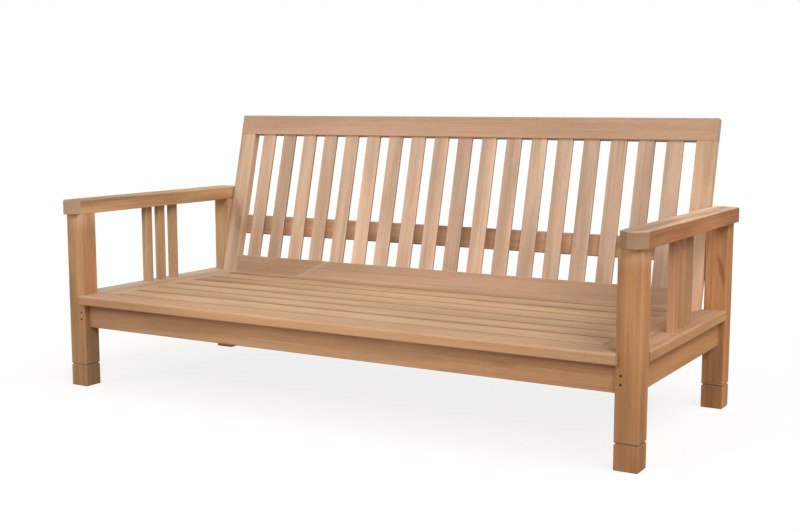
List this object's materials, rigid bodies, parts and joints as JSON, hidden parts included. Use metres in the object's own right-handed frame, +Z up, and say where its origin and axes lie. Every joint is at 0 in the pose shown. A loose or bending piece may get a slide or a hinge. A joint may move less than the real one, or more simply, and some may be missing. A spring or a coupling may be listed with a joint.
{
  "type": "deep seating sofa",
  "caption": "Hardwood sofa frame for loose cushions: square legs, broad level arms with clipped corners, slatted seat and a leaning slatted back on a support bar.",
  "frame": {"origin": "on the floor, at the middle of the sofa's overall length and depth", "axes": "+X along the sofa's length, towards the right arm as seen from the front; +Y from the front edge towards the back; +Z up from the floor"},
  "size_m": [2.072, 0.962, 0.921],
  "materials": {
    "frame_teak": "sanded, unfinished",
    "arm_teak": "sanded, unfinished",
    "seat_teak": "sanded, unfinished",
    "back_teak": "sanded, unfinished",
    "pin_wood": "end grain, flush",
    "steel": "satin"
  },
  "bodies": {
    "root": {"apron_pins": "pin_wood", "arm_left": "arm_teak", "arm_right": "arm_teak", "arm_slat_left_1": "arm_teak", "arm_slat_left_2": "arm_teak", "arm_slat_left_3": "arm_teak", "arm_slat_right_1": "arm_teak", "arm_slat_right_2": "arm_teak", "arm_slat_right_3": "arm_teak", "back_bolts": "steel", "back_lower_rail": "back_teak", "back_slat_01": "back_teak", "back_slat_02": "back_teak", "back_slat_03": "back_teak", "back_slat_04": "back_teak", "back_slat_05": "back_teak", "back_slat_06": "back_teak", "back_slat_07": "back_teak", "back_slat_08": "back_teak", "back_slat_09": "back_teak", "back_slat_10": "back_teak", "back_slat_11": "back_teak", "back_slat_12": "back_teak", "back_slat_13": "back_teak", "back_slat_14": "back_teak", "back_slat_15": "back_teak", "back_slat_16": "back_teak", "back_slat_17": "back_teak", "back_slat_18": "back_teak", "back_stile_left": "back_teak", "back_stile_right": "back_teak", "back_support_bar": "back_teak", "back_top_rail": "back_teak", "front_apron": "frame_teak", "leg_front_left": "frame_teak", "leg_front_right": "frame_teak", "leg_rear_left": "frame_teak", "leg_rear_right": "frame_teak", "rear_apron": "frame_teak", "seat_bearer_1": "frame_teak", "seat_bearer_2": "frame_teak", "seat_bearer_3": "frame_teak", "seat_bearer_4": "frame_teak", "seat_end_rail_left": "seat_teak", "seat_end_rail_right": "seat_teak", "seat_front_board": "seat_teak", "seat_slat_1": "seat_teak", "seat_slat_2": "seat_teak", "seat_slat_3": "seat_teak", "seat_slat_4": "seat_teak", "seat_slat_5": "seat_teak", "seat_slat_6": "seat_teak", "seat_slat_7": "seat_teak", "side_board_left": "seat_teak", "side_board_right": "seat_teak", "side_rail_left": "frame_teak", "side_rail_right": "frame_teak"}
  },
  "joints": []
}
